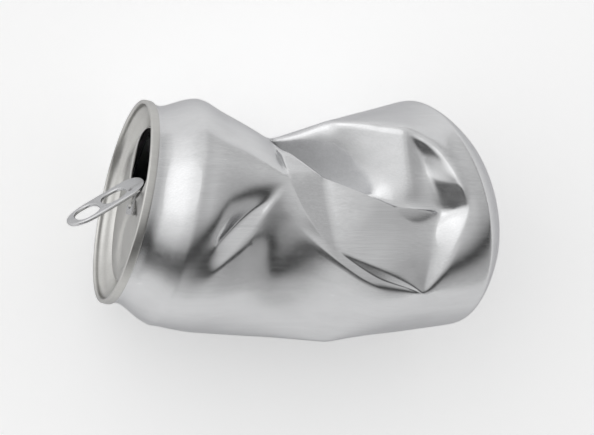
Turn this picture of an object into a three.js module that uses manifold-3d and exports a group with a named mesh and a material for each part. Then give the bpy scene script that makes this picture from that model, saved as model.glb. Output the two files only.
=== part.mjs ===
// Crushed drink can, lying on its side: a drawn and ironed aluminium body that has been bent and
// trodden in, its seamed-on end with the mouth torn open, and the pull tab left standing.
// Millimetres, +Z up. The row frame has +X along the can from the opened end to the base.
import * as THREE from 'three';
import { mergeVertices } from 'three/addons/utils/BufferGeometryUtils.js';
import Module from 'manifold-3d';

const wasm = await Module();
wasm.setup();

// ---------------------------------------------------------------- driving dimensions
const bodyRadius = 33.1;          // a 66.2 mm body
const standRadius = 24.9;         // the ring the can once stood on
const seamRadius = 29.75;         // over the seam of the end
const seamHeight = 2.5;
const neckRadius = 28.8;          // just under the seam
const wallGauge = 0.12;           // ironed side wall
const neckGauge = 0.17;
const baseGauge = 0.27;
const endGauge = 0.25;            // sheet of the end
const seamGap = 0.32;             // clearance between the flange and the folds of the end
const columns = 24;               // control columns round the body
const endSteps = 60;              // facets round the end
const panelDepth = 4.4;           // from the top of the seam to the panel
const countersinkDepth = 6.3;
const panelRadius = 23.2;
const mouth = { across: 12, along: 9.6, centre: 12.5 };       // half sizes, and place above the middle
const rivet = { radius: 2.4, height: 1.3, place: 1.0 };
const tab = { length: 25.3, width: 15.6, thickness: 1.1, lift: 48, twist: 9 };
const rest = { pitch: 15.6, roll: 0 };                        // how the crushed shape settles, degrees

const degrees = Math.PI / 180;
const vector = (x, y, z) => new THREE.Vector3(x, y, z);

// ---------------------------------------------------------------- the two ends of the bent can
// Each end keeps its round section, on an axis of its own. "along" points into the can, "top" to
// the side with the notch, and "near" to the side that took the kick.
function endFrame(centre, along, top) {
  const a = vector(...along).normalize();
  const t = vector(...top).addScaledVector(a, -vector(...top).dot(a)).normalize();
  const near = new THREE.Vector3().crossVectors(a, t).normalize();
  return { centre: vector(...centre), along: a, top: t, near };
}
const openEnd = endFrame([-50.1, 4.7, 0], [0.951, -0.201, -0.233], [0.207, 0.978, 0]);
const baseEnd = endFrame([45.2, 3.2, -29.5], [-0.844, -0.195, 0.5], [-0.225, 0.974, 0]);
baseEnd.near.negate();

// A closed ring of control columns swells a little, because the smooth surface runs inside it.
const swell = 3 / (2 + Math.cos(2 * Math.PI / columns));
function ringPoint(end, depth, radius, column) {
  const turn = (2 * Math.PI * column) / columns;
  return end.centre.clone()
    .addScaledVector(end.along, depth)
    .addScaledVector(end.top, radius * swell * Math.cos(turn))
    .addScaledVector(end.near, radius * swell * Math.sin(turn));
}

// Round stretches as [depth along the axis, radius].
const neckRings = [[0.9, 29.15], [2.9, 29.1], [4.8, neckRadius], [6.4, 28.95], [8.4, 30.1],
  [10.8, 31.7], [13.4, 32.8], [16.5, bodyRadius]];
const baseRings = [[12, bodyRadius], [9, bodyRadius], [5.6, 30.8], [2.2, 27.4], [0, standRadius],
  [1.4, 23.4], [5.4, 22.2], [9.4, 12.4]];
const domeDepth = 10.8;

// ---------------------------------------------------------------- folds of the crushed wall
// Hand-placed corners of the folds, between the rings B (near the neck) and W (near the base).
const folds = {
  B7: [-23.7, -9, 23.5], B8: [-24.5, -17.4, 23],
  F0: [-15.3, 26.8, -4.5], F1: [-13.5, 26.3, 3], F2: [-12.3, 23, 9.5], F3: [-10.5, 18, 15],
  F4: [-10.5, 13, 17.5], F5: [-11.5, 8, 17],
  N: [-8, 22.6, -3], N2: [-6.9, 21, 3], A1: [-1.8, 10.9, 12], A2: [-5.3, 5.9, 12],
  V1: [-12, 3, 13.5], V2: [-18.2, -3.2, 20.5],
  G1: [-10, -0.2, 16.5], G2: [-13.8, -7, 20.5], G3: [-18.2, -10.9, 22.5],
  J: [-6, -3.5, 14], E1: [-1.8, -0.5, 16], E2: [1.7, -4.3, 17.5], E3: [11, -11.9, 17],
  E4: [17.3, -16.9, 14.5], E5: [24.4, -21, 10.5],
  C1: [0.9, 3.6, 16.8], C2: [6, -4, 17.2], L1: [4.6, 0.8, 15], A3: [11, -9.3, 13.5],
  R0: [-5.4, 20.8, 5], R1: [0.9, 16.7, 8], R2: [6.9, 12, 10], R3: [14.5, 8.8, 11],
  R4: [22.7, 5.3, 10.5], R5: [27.7, 3.2, 9.5], R6: [33.7, 2.7, 7], A6: [41.3, 1.2, 1.5],
  T1: [2.3, 11.8, 11.5], U: [17.8, -1.3, 12.5],
  Q0: [-6, 21.9, -5], Q1: [2, 20, -4], Q2: [8, 17.5, -3.5], Q3: [15, 13.5, -2.5],
  Q4: [23, 8, 0.5], Q5: [28.3, 5, 3.5], Q6: [34, 3.9, 3],
  S1: [1.2, 25.6, -7.5], S2: [11.8, 29.1, -14], S3: [20, 31.2, -18.5],
  K3: [8, 27, -3], K2: [16, 27.2, 2.5], K1: [24, 26.6, 4], A5: [30.8, 25.7, 3.5],
  D2: [29.3, 14.6, -1], D3: [31.7, 9.1, -0.5], O2: [35, 14.6, 2.2], A7: [37.4, 9.8, 2],
  O4: [43.1, 9.1, 3.8], O5: [44.5, 1.9, 3],
  b1: [40.4, 20.5, 5], b2: [44.5, 13.7, 7], b3: [47.2, 9.1, 7], b4: [49, 3.3, 6.5],
  b5: [47, -5, 6.2], b6: [43.1, -14.6, 4.7], A4: [36.4, -22.1, 2.2],
  l1: [30.5, -1, 8], l2: [36, -2.6, 4.4], q1: [39.9, -3.2, 2], q2: [39.1, -8.7, 2.2],
  q3: [36.6, -17.5, 2.3], t1: [30.4, -8.1, 7.2], t2: [34.2, -17, 3],
  w2: [22, -13.6, 11.5], w3: [28.2, -16.6, 8], w4: [33.5, -19.7, 3.8],
  X2: [20.5, -16.2, 9.5], X3: [25.5, -18.3, 7], X4: [31, -19.9, 4.5],
  Y0: [-18, -21, 19.5], Y1: [-8, -20, 19], Y2: [2, -22, 18], Y3: [13, -24.5, 14.5],
  Y4: [22, -26.5, 8.5], Y5: [36, -26, -1],
  Z0: [-22, -29.5, 8], Z1: [-8, -31, 6], Z2: [4, -32.5, 4], Z3: [14, -32, 1], Z4: [24, -31, -3],
  Z5: [36, -29.5, -9],
  M0: [-25.5, -34.2, -7.7], M1: [-12.2, -34.5, -9.5], M2: [18, -34.9, -14], M3: [29.8, -32.4, -17.5],
  V12: [8.9, -36.3, -12], V13: [5, -35, -24], V14: [0, -30, -36], V15: [-4, -21, -45],
  V16: [-6, -14, -37], V17: [-6, -7, -28], V18: [-6, 0, -25], V19: [-6, 7, -28],
  V20: [-6, 12, -36], V21: [-6, 17.5, -44.5], V22: [-7, 21.5, -34], V23: [-8, 22, -17],
};

// Facets between the folds, each turned outwards.
const facets = `
  B0 B1 F1 F0 | B1 B2 F2 F1 | B2 B3 F3 F2 | B3 B4 F4 F3 | B4 B5 F5 F4 | B5 B6 V2 V1 F5 | B6 B7 V2
  F0 F1 N2 N | F1 F2 N2 | F2 F3 A1 N2 | F3 F4 A1 | F4 F5 A1 | F5 V1 A2 A1
  V1 G1 A2 | V1 V2 G2 G1 | V2 B7 G3 G2 | B7 B8 G3
  B8 B9 Y0 G3 | G3 Y0 Y1 G2 | G1 G2 J | G2 Y1 J | J Y1 E2 E1 | A2 G1 J E1
  A1 A2 E1 C1 | C1 E1 E2 C2 | C2 E2 E3 A3 | A1 C1 L1 | C1 C2 L1 | C2 A3 L1
  Y1 Y2 E3 E2 | Y2 Y3 E4 E3 | Y3 Y4 E5 E4 | E5 Y4 Y5 A4
  A3 E3 E4 X2 | X2 E4 E5 X3 | X3 E5 A4 X4
  A3 X2 w2 | w2 X2 X3 w3 | w3 X3 X4 w4 | w4 X4 A4
  A3 w2 t1 R5 U | w2 w3 t1 | w3 w4 t2 t1 | w4 A4 t2 | t1 t2 q3 q2 | t2 A4 q3
  R5 t1 q2 l2 l1 | l2 q2 q1 A6 | R5 l1 R6 | l1 l2 R6 | R6 l2 A6
  A6 q1 b5 b4 O5 | q1 q2 b6 b5 | q2 q3 A4 b6
  N2 A1 R0 | R0 A1 T1 R1 | R1 T1 R2 | A1 L1 A3 R2 T1 | R2 A3 U R3 | R3 U R4 | R4 U R5
  N N2 R0 Q0 | Q0 R0 R1 Q1 | Q1 R1 R2 Q2 | Q2 R2 R3 Q3 | Q3 R3 R4 Q4 | Q4 R4 R5 Q5 | Q5 R5 R6 Q6
  Q6 R6 A6
  N Q0 Q1 S1 | S1 Q1 Q2 K3 | K3 Q2 Q3 K2 | K2 Q3 Q4 K1 | K1 Q4 D2 A5 | Q4 Q5 D3 D2 | Q5 Q6 D3
  A5 D2 O2 | D2 D3 A7 O2 | D3 Q6 A6 A7
  A5 O2 b1 | b1 O2 b2 | O2 A7 O4 b2 | O4 b3 b2 | A7 A6 O5 O4 | O4 O5 b4 b3
  S1 K3 S2 | S2 K3 K2 | S2 K2 K1 S3 | S3 K1 W1 W0 | K1 A5 W2 W1 | A5 b1 W3 W2 | b1 b2 W4 W3
  b2 b3 W5 W4 | b3 b4 W6 W5 | b4 b5 W7 W6 | b5 b6 W8 W7 | b6 A4 W9 W8 | A4 Y5 W10 W9
  Y5 Z5 W11 W10 | Z5 M3 W12 W11
  B9 B10 Z0 Y0 | Y0 Z0 Z1 Y1 | Y1 Z1 Z2 Y2 | Y2 Z2 Z3 Y3 | Y3 Z3 Z4 Y4 | Y4 Z4 Z5 Y5
  B10 B11 M0 Z0 | B11 B12 M0 | Z0 M0 M1 Z1 | Z1 M1 V12 Z2 | Z2 V12 Z3 | Z3 V12 M2 Z4 | Z4 M2 M3 Z5
  B12 B13 H13 M0 | M0 H13 V13 V12 M1 | V12 V13 P13 M3 M2 | M3 P13 W13 W12
  B23 B0 F0 H23 | H23 F0 N V23 | V23 N S1 S2 P23 | P23 S2 S3 W0 W23
`;

// Fold lines, and how sharply each one is creased.
const creases = [
  [3, 'R0 R1 R2 R3 R4 R5 R6 A6'], [2.4, 'A2 E1 E2 E3 E4 E5'], [2.4, 'A1 L1 A3'], [1.5, 'A1 C1 C2 A3'],
  [2.2, 'A1 A2 V1 V2 B7'], [2, 'A2 G1 G2 G3 B8'], [2.6, 'A5 b1 b2 b3 b4 b5 b6 A4'],
  [1.6, 'A3 w2 w3 w4 A4'], [2.4, 'A3 X2 X3 X4 A4'], [1.4, 'A5 K1 K2 K3 S2'], [1.4, 'A5 D2 D3 Q6'],
  [1.4, 'A5 O2 A7'], [2.2, 'A7 O4 b3'], [1.2, 'A6 O5 b4'], [1.3, 'A3 U R5'], [1.8, 'A6 q1 q2 q3 A4'],
  [1.2, 'R5 l1 l2 A6'], [3, 'N N2 A1'], [2, 'R0 A1'], [1.2, 'R2 A3'], [1.5, 'A1 T1 R2'],
  [1.6, 'Q0 Q1 Q2 Q3 Q4'], [2, 'V12 V13 V14 V15 V16 V17 V18 V19 V20 V21 V22 V23 N'],
  [1.4, 'Z2 V12 Z3'], [1.2, 't1 t2 A4'], [1.2, 'N Q0'],
];

// ---------------------------------------------------------------- the body as a creased cage
function bodyCage() {
  const points = [];
  const index = new Map();
  const faces = [];
  const add = (name, point) => { index.set(name, points.length); points.push(point); };
  const column = (c) => ((c % columns) + columns) % columns;
  neckRings.forEach(([depth, radius], ring) => {
    for (let c = 0; c < columns; c++) add(`neck${ring}_${c}`, ringPoint(openEnd, depth, radius, c));
  });
  baseRings.forEach(([depth, radius], ring) => {
    for (let c = 0; c < columns; c++) add(`base${ring}_${c}`, ringPoint(baseEnd, depth, radius, c));
  });
  add('dome', baseEnd.centre.clone().addScaledVector(baseEnd.along, domeDepth));
  for (let c = 0; c < columns; c++) {
    const flat = c < 3 || c > 21 ? 31.2 : bodyRadius;         // the wall is already pressed in here
    add(`B${c}`, ringPoint(openEnd, 22, flat, c));
    index.set(`W${c}`, index.get(`base0_${c}`));
    if (c > 12) {
      add(`H${c}`, ringPoint(openEnd, 33, c > 21 ? 30 : bodyRadius, c));
      add(`P${c}`, ringPoint(baseEnd, 27, bodyRadius, c));
    }
  }
  for (const [name, place] of Object.entries(folds)) {
    if (index.has(name)) points[index.get(name)].set(...place);
    else add(name, vector(...place));
  }
  const face = (...names) => faces.push(names.map((name) => index.get(name)));
  const lastNeck = neckRings.length - 1;
  for (let c = 0; c < columns; c++) {
    const d = column(c + 1);
    for (let r = 0; r < lastNeck; r++) face(`neck${r}_${c}`, `neck${r}_${d}`, `neck${r + 1}_${d}`, `neck${r + 1}_${c}`);
    face(`neck${lastNeck}_${c}`, `neck${lastNeck}_${d}`, `B${d}`, `B${c}`);
    for (let r = 1; r < baseRings.length; r++) face(`base${r - 1}_${c}`, `base${r - 1}_${d}`, `base${r}_${d}`, `base${r}_${c}`);
    face(`base${baseRings.length - 1}_${c}`, `base${baseRings.length - 1}_${d}`, 'dome');
    if (c > 12 && c < 23) {
      face(`B${c}`, `B${d}`, `H${d}`, `H${c}`);
      face(`H${c}`, `H${d}`, `V${d}`, `V${c}`);
      face(`V${c}`, `V${d}`, `P${d}`, `P${c}`);
      face(`P${c}`, `P${d}`, `W${d}`, `W${c}`);
    }
  }
  for (const facet of facets.split(/[|\n]/)) {
    if (facet.trim()) face(...facet.trim().split(/\s+/));
  }
  const sharpness = new Map();
  for (const [sharp, line] of creases) {
    const names = line.split(' ').map((name) => index.get(name));
    for (let i = 1; i < names.length; i++) sharpness.set(edgeKey(names[i - 1], names[i]), sharp);
  }
  return { points, faces, sharpness };
}

const edgeKey = (a, b) => (a < b ? `${a},${b}` : `${b},${a}`);

// One step of Catmull-Clark subdivision that keeps creased fold lines.
function subdivide({ points, faces, sharpness }) {
  const edges = new Map();
  const centres = faces.map((face) => {
    const centre = face.reduce((sum, i) => sum.add(points[i]), new THREE.Vector3());
    return centre.divideScalar(face.length);
  });
  const vertexFaces = points.map(() => []);
  faces.forEach((face, f) => face.forEach((a, k) => {
    const b = face[(k + 1) % face.length];
    const key = edgeKey(a, b);
    if (!edges.has(key)) edges.set(key, { a, b, faces: [], sharp: sharpness.get(key) ?? 0 });
    edges.get(key).faces.push(f);
    vertexFaces[a].push(f);
  }));
  const vertexEdges = points.map(() => []);
  for (const edge of edges.values()) {
    if (edge.faces.length === 1) edge.sharp = Infinity;
    vertexEdges[edge.a].push(edge);
    vertexEdges[edge.b].push(edge);
    edge.middle = points[edge.a].clone().add(points[edge.b]).multiplyScalar(0.5);
    const soft = points[edge.a].clone().add(points[edge.b]);
    edge.faces.forEach((f) => soft.add(centres[f]));
    soft.divideScalar(2 + edge.faces.length);
    edge.point = soft.lerp(edge.middle, Math.min(edge.sharp, 1));
  }
  const moved = points.map((point, i) => {
    const around = vertexEdges[i];
    const sharpEdges = around.filter((edge) => edge.sharp > 0);
    const n = around.length;
    const smooth = point.clone().multiplyScalar((n - 2) / n);
    around.forEach((edge) => smooth.addScaledVector(points[edge.a === i ? edge.b : edge.a], 1 / (n * n)));
    vertexFaces[i].forEach((f) => smooth.addScaledVector(centres[f], 1 / (n * n)));
    if (sharpEdges.length < 2) return smooth;
    const weight = Math.min(1, sharpEdges.reduce((sum, edge) => sum + Math.min(edge.sharp, 9), 0) / sharpEdges.length);
    if (sharpEdges.length > 2) return smooth.lerp(point, weight);
    const creased = point.clone().multiplyScalar(0.75);
    sharpEdges.forEach((edge) => creased.addScaledVector(points[edge.a === i ? edge.b : edge.a], 0.125));
    return smooth.lerp(creased, weight);
  });
  const next = [...moved, ...centres];
  for (const edge of edges.values()) {
    edge.index = next.length;
    next.push(edge.point);
  }
  const nextFaces = [];
  const nextSharp = new Map();
  faces.forEach((face, f) => face.forEach((a, k) => {
    const before = edges.get(edgeKey(face[(k + face.length - 1) % face.length], a));
    const after = edges.get(edgeKey(a, face[(k + 1) % face.length]));
    nextFaces.push([a, after.index, points.length + f, before.index]);
  }));
  for (const edge of edges.values()) {
    if (edge.sharp > 1 && edge.sharp < Infinity) {
      nextSharp.set(edgeKey(edge.a, edge.index), edge.sharp - 1);
      nextSharp.set(edgeKey(edge.b, edge.index), edge.sharp - 1);
    }
  }
  return { points: next, faces: nextFaces, sharpness: nextSharp };
}

function bodyGeometry() {
  const { points, faces } = subdivide(bodyCage());
  const normals = points.map(() => new THREE.Vector3());
  const borders = new Map();
  faces.forEach((face) => {
    const across = points[face[2]].clone().sub(points[face[0]]);
    const other = points[face[3]].clone().sub(points[face[1]]);
    const normal = across.cross(other);
    face.forEach((i, k) => {
      normals[i].add(normal);
      const j = face[(k + 1) % 4];
      if (borders.has(edgeKey(i, j))) borders.delete(edgeKey(i, j));
      else borders.set(edgeKey(i, j), [i, j]);
    });
  });
  const gaugeAt = (point) => {
    const fromNeck = point.clone().sub(openEnd.centre).dot(openEnd.along);
    const fromBase = point.clone().sub(baseEnd.centre).dot(baseEnd.along);
    if (fromNeck < 14) return neckGauge;
    return fromBase < 7 ? baseGauge : wallGauge;
  };
  const inner = points.map((point, i) => point.clone().addScaledVector(normals[i].normalize(), -gaugeAt(point)));
  const position = [...points, ...inner].flatMap((p) => [p.x, p.y, p.z]);
  const index = [];
  faces.forEach(([a, b, c, d]) => {
    const split = points[a].distanceTo(points[c]) <= points[b].distanceTo(points[d]);
    const triangles = split ? [[a, b, c], [a, c, d]] : [[a, b, d], [b, c, d]];
    triangles.forEach(([p, q, r]) => index.push(p, q, r, p + points.length, r + points.length, q + points.length));
  });
  for (const [i, j] of borders.values()) {
    index.push(j, i, i + points.length, j, i + points.length, j + points.length);
  }
  const geometry = new THREE.BufferGeometry();
  geometry.setAttribute('position', new THREE.Float32BufferAttribute(position, 3));
  geometry.setIndex(index);
  return geometry;
}

// ---------------------------------------------------------------- solids for cutting and joining
function toSolid(geometry) {
  const bare = new THREE.BufferGeometry();
  bare.setAttribute('position', geometry.getAttribute('position').clone());
  if (geometry.index) bare.setIndex(geometry.index.clone());
  const merged = mergeVertices(bare, 1e-4);
  return new wasm.Manifold(new wasm.Mesh({
    numProp: 3,
    vertProperties: new Float32Array(merged.getAttribute('position').array),
    triVerts: new Uint32Array(merged.index.array),
  }));
}

function fromSolid(solid) {
  const mesh = solid.getMesh();
  const geometry = new THREE.BufferGeometry();
  geometry.setAttribute('position', new THREE.BufferAttribute(new Float32Array(mesh.vertProperties), 3));
  geometry.setIndex(new THREE.BufferAttribute(new Uint32Array(mesh.triVerts), 1));
  return geometry;
}

function ovalShape(halfAcross, halfAlong, squareness = 2.5) {
  const shape = new THREE.Shape();
  const steps = 32;
  for (let i = 0; i < steps; i++) {
    const turn = (2 * Math.PI * i) / steps;
    const x = halfAcross * Math.sign(Math.cos(turn)) * Math.abs(Math.cos(turn)) ** (2 / squareness);
    const y = halfAlong * Math.sign(Math.sin(turn)) * Math.abs(Math.sin(turn)) ** (2 / squareness);
    if (i === 0) shape.moveTo(x, y);
    else shape.lineTo(x, y);
  }
  shape.closePath();
  return shape;
}

// ---------------------------------------------------------------- the end: seam, panel, rivet, mouth
// Turned about Z with the top of the seam at z = 0 and +Z pointing out of the can.
function endGeometry() {
  const flange = 29.15;
  const wellOuter = flange - neckGauge - seamGap;             // chuck wall, behind the body's flange
  const skin = [
    [0, -panelDepth], [panelRadius - 1.4, -panelDepth], [panelRadius - 0.5, -panelDepth - 0.3],
    [panelRadius, -panelDepth - 1.1], [panelRadius + 0.2, -countersinkDepth + 0.5],
    [panelRadius + 0.9, -countersinkDepth], [panelRadius + 1.6, -countersinkDepth + 0.5],
    [panelRadius + 2.0, -countersinkDepth + 1.4], [panelRadius + 3.0, -3.4], [wellOuter - 1.0, -2.6],
    [wellOuter - endGauge, -1.6], [wellOuter - endGauge, -0.5], [wellOuter - endGauge + 0.25, -0.1],
    [wellOuter + 0.1, 0],
  ];
  const outer = [
    [seamRadius - 0.45, 0], [seamRadius - 0.1, -0.15], [seamRadius, -0.5],
    [seamRadius, -seamHeight + 0.4], [seamRadius - 0.15, -seamHeight],
    [seamRadius - endGauge, -seamHeight], [seamRadius - endGauge, -0.55], [seamRadius - endGauge - 0.2, -endGauge],
    [wellOuter + 0.15, -endGauge], [wellOuter, -0.5], [wellOuter, -1.7], [wellOuter - 0.9, -2.6 - endGauge],
    [panelRadius + 3.15, -3.4 - endGauge], [panelRadius + 2.25, -countersinkDepth + 1.3],
    [panelRadius + 1.8, -countersinkDepth + 0.3], [panelRadius + 0.9, -countersinkDepth - endGauge],
    [panelRadius, -countersinkDepth + 0.3], [panelRadius - 0.25, -panelDepth - 1.0],
    [panelRadius - 0.7, -panelDepth - 0.5], [panelRadius - 1.5, -panelDepth - endGauge],
    [0, -panelDepth - endGauge],
  ];
  const profile = [...skin, ...outer].reverse().map(([r, z]) => new THREE.Vector2(r, z));
  const shell = new THREE.LatheGeometry(profile, endSteps).rotateX(Math.PI / 2);
  const boss = new THREE.CylinderGeometry(rivet.radius * 0.86, rivet.radius, rivet.height + endGauge, 24)
    .rotateX(Math.PI / 2)
    .translate(0, rivet.place, -panelDepth + (rivet.height - endGauge) / 2);
  const cut = new THREE.ExtrudeGeometry(ovalShape(mouth.across, mouth.along), { depth: 4, bevelEnabled: false })
    .translate(0, mouth.centre, -panelDepth - 2);
  // The torn piece hangs from the near side of the mouth, bent in under the panel.
  const tongue = new THREE.ExtrudeGeometry(ovalShape(mouth.across - 1.4, mouth.along - 0.6), {
    depth: endGauge, bevelEnabled: false,
  });
  tongue.translate(1.4 - mouth.across, 0, -endGauge).rotateY(-66 * degrees)
    .translate(mouth.across + 0.7, mouth.centre - 0.4, -panelDepth);
  return fromSolid(toSolid(shell).subtract(toSolid(cut)).add(toSolid(boss)).add(toSolid(tongue)));
}

// ---------------------------------------------------------------- the pull tab
// Flat frame of the tab: u runs from the nose to the finger end, v across, w out of its face.
function tabGeometry() {
  const half = tab.width / 2;
  const outline = new THREE.Shape();
  outline.moveTo(6, -half + 0.2);
  outline.bezierCurveTo(1.8, -half + 0.3, 0, -4.6, 0, 0);
  outline.bezierCurveTo(0, 4.6, 1.8, half - 0.3, 6, half - 0.2);
  outline.bezierCurveTo(12, half, 15, half, 18.5, half - 0.2);
  outline.bezierCurveTo(23, half - 0.9, tab.length, 4.4, tab.length, 0);
  outline.bezierCurveTo(tab.length, -4.4, 23, -half + 0.9, 18.5, -half + 0.2);
  outline.bezierCurveTo(15, -half, 12, -half, 6, -half + 0.2);
  const hole = (centre, along, across) => {
    const path = new THREE.Path();
    ovalShape(along, across).getPoints().forEach((p, i) => {
      if (i === 0) path.moveTo(p.x + centre, p.y);
      else path.lineTo(p.x + centre, p.y);
    });
    path.closePath();
    return path;
  };
  outline.holes.push(hole(19.5, 4.1, 5.9), hole(9.9, 3.7, 4.9));
  const bevel = tab.thickness * 0.3;
  return new THREE.ExtrudeGeometry(outline, {
    depth: tab.thickness - 2 * bevel, bevelThickness: bevel, bevelSize: bevel, bevelOffset: -bevel,
    bevelSegments: 1, curveSegments: 6,
  }).translate(0, 0, -tab.thickness / 2 + bevel);
}

// The tab's own rivet island: a strip bent down from the nose and held flat by the rivet.
function islandGeometry() {
  const z = -panelDepth + 0.35;
  const strip = new THREE.Shape();
  const sheet = 0.5;
  const nose = tabPoint(5.6, 0);
  strip.moveTo(rivet.place - 4.4, z);
  strip.lineTo(rivet.place + 3.3, z);
  strip.lineTo(nose.y + 0.5, nose.z - 0.1);
  strip.lineTo(nose.y - 0.1, nose.z + 0.3);
  strip.lineTo(rivet.place + 2.9, z + sheet);
  strip.lineTo(rivet.place - 4.4, z + sheet);
  strip.closePath();
  const plate = new THREE.ExtrudeGeometry(strip, { depth: 7.4, bevelEnabled: false });
  plate.translate(0, 0, -3.7);
  plate.applyMatrix4(new THREE.Matrix4().makeBasis(vector(0, 1, 0), vector(0, 0, 1), vector(1, 0, 0)));
  const bore = new THREE.CylinderGeometry(rivet.radius + 0.32, rivet.radius + 0.32, 3, 24)
    .rotateX(Math.PI / 2).translate(0, rivet.place, z);
  return { plate, bore };
}

// Where the tab stands in the frame of the end: its nose pushed into the mouth, its tail lifted.
const tabNose = vector(0, 6.8, -5.4);
const tabRun = vector(0, -Math.cos(tab.lift * degrees), Math.sin(tab.lift * degrees));
function tabMatrix() {
  const across = vector(1, 0, 0).applyAxisAngle(tabRun, -tab.twist * degrees);
  const out = new THREE.Vector3().crossVectors(tabRun, across);
  return new THREE.Matrix4().makeBasis(tabRun, across, out).setPosition(tabNose);
}
function tabPoint(u, v) {
  return vector(u, v, 0).applyMatrix4(tabMatrix());
}

function pullTabGeometry() {
  const ring = toSolid(tabGeometry().applyMatrix4(tabMatrix()));
  const { plate, bore } = islandGeometry();
  return fromSolid(ring.add(toSolid(plate)).subtract(toSolid(bore)));
}

// ---------------------------------------------------------------- assembly
function piece(name, geometry, material) {
  const mesh = new THREE.Mesh(geometry, material);
  mesh.name = name;
  return mesh;
}
const aluminium = (colour, roughness) => new THREE.MeshStandardMaterial({ color: colour, roughness, metalness: 1 });

const crushed = new THREE.Group();
crushed.add(piece('can_body', bodyGeometry(), aluminium(0xc9cbce, 0.3)));

const lid = new THREE.Group();
const outward = openEnd.along.clone().negate();
lid.applyMatrix4(new THREE.Matrix4()
  .makeBasis(openEnd.near.clone(), openEnd.top.clone(), outward)
  .setPosition(openEnd.centre));
lid.add(piece('can_end', endGeometry(), aluminium(0xc6c4be, 0.32)));
lid.add(piece('pull_tab', pullTabGeometry(), aluminium(0xbfc1c6, 0.28)));
crushed.add(lid);

// Turn the can to the way it comes to rest, and stand it on z = 0.
const can = new THREE.Group();
crushed.rotation.set(rest.roll * degrees, rest.pitch * degrees * -1, 0);
can.add(crushed);
can.updateMatrixWorld(true);
const extent = new THREE.Box3().setFromObject(can, true);
const middle = extent.getCenter(new THREE.Vector3());
can.position.set(-middle.x, -middle.y, -extent.min.z);

export default can;
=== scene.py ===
"""Looks of a crushed aluminium drink can that lies on its side, opened, with its pull tab lifted."""
import logging
import math
from dataclasses import dataclass, field
from enum import Enum

import bmesh
import bpy
from mathutils import Matrix, Vector, noise


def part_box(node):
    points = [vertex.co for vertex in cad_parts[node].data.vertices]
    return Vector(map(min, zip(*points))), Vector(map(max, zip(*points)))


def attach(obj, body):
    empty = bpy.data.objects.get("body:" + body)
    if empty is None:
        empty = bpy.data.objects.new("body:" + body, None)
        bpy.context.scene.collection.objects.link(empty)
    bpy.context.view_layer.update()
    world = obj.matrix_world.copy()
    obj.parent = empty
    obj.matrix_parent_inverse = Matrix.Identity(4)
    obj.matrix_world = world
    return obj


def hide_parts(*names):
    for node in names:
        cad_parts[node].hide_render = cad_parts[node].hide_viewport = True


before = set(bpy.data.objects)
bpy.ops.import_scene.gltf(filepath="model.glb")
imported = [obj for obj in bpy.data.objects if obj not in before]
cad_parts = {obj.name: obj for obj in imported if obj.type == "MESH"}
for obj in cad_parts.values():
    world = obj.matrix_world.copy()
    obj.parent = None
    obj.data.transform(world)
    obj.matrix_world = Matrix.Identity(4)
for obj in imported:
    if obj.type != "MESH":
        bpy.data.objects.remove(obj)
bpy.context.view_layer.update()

LOG = logging.getLogger("crushed_can")
MM = 0.001
PITCH = 15.6            # how far the crushed can leans over as it lies, in degrees
FOLD_EDGE = 1.4         # how much sharper the folds are drawn than they are listed
SHARPEST = 4.0          # limit on that
FULL_CREASE = 10.0      # listed sharpness of a fully creased edge
ROUND = 48              # facets round the rivet and its hole

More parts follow.
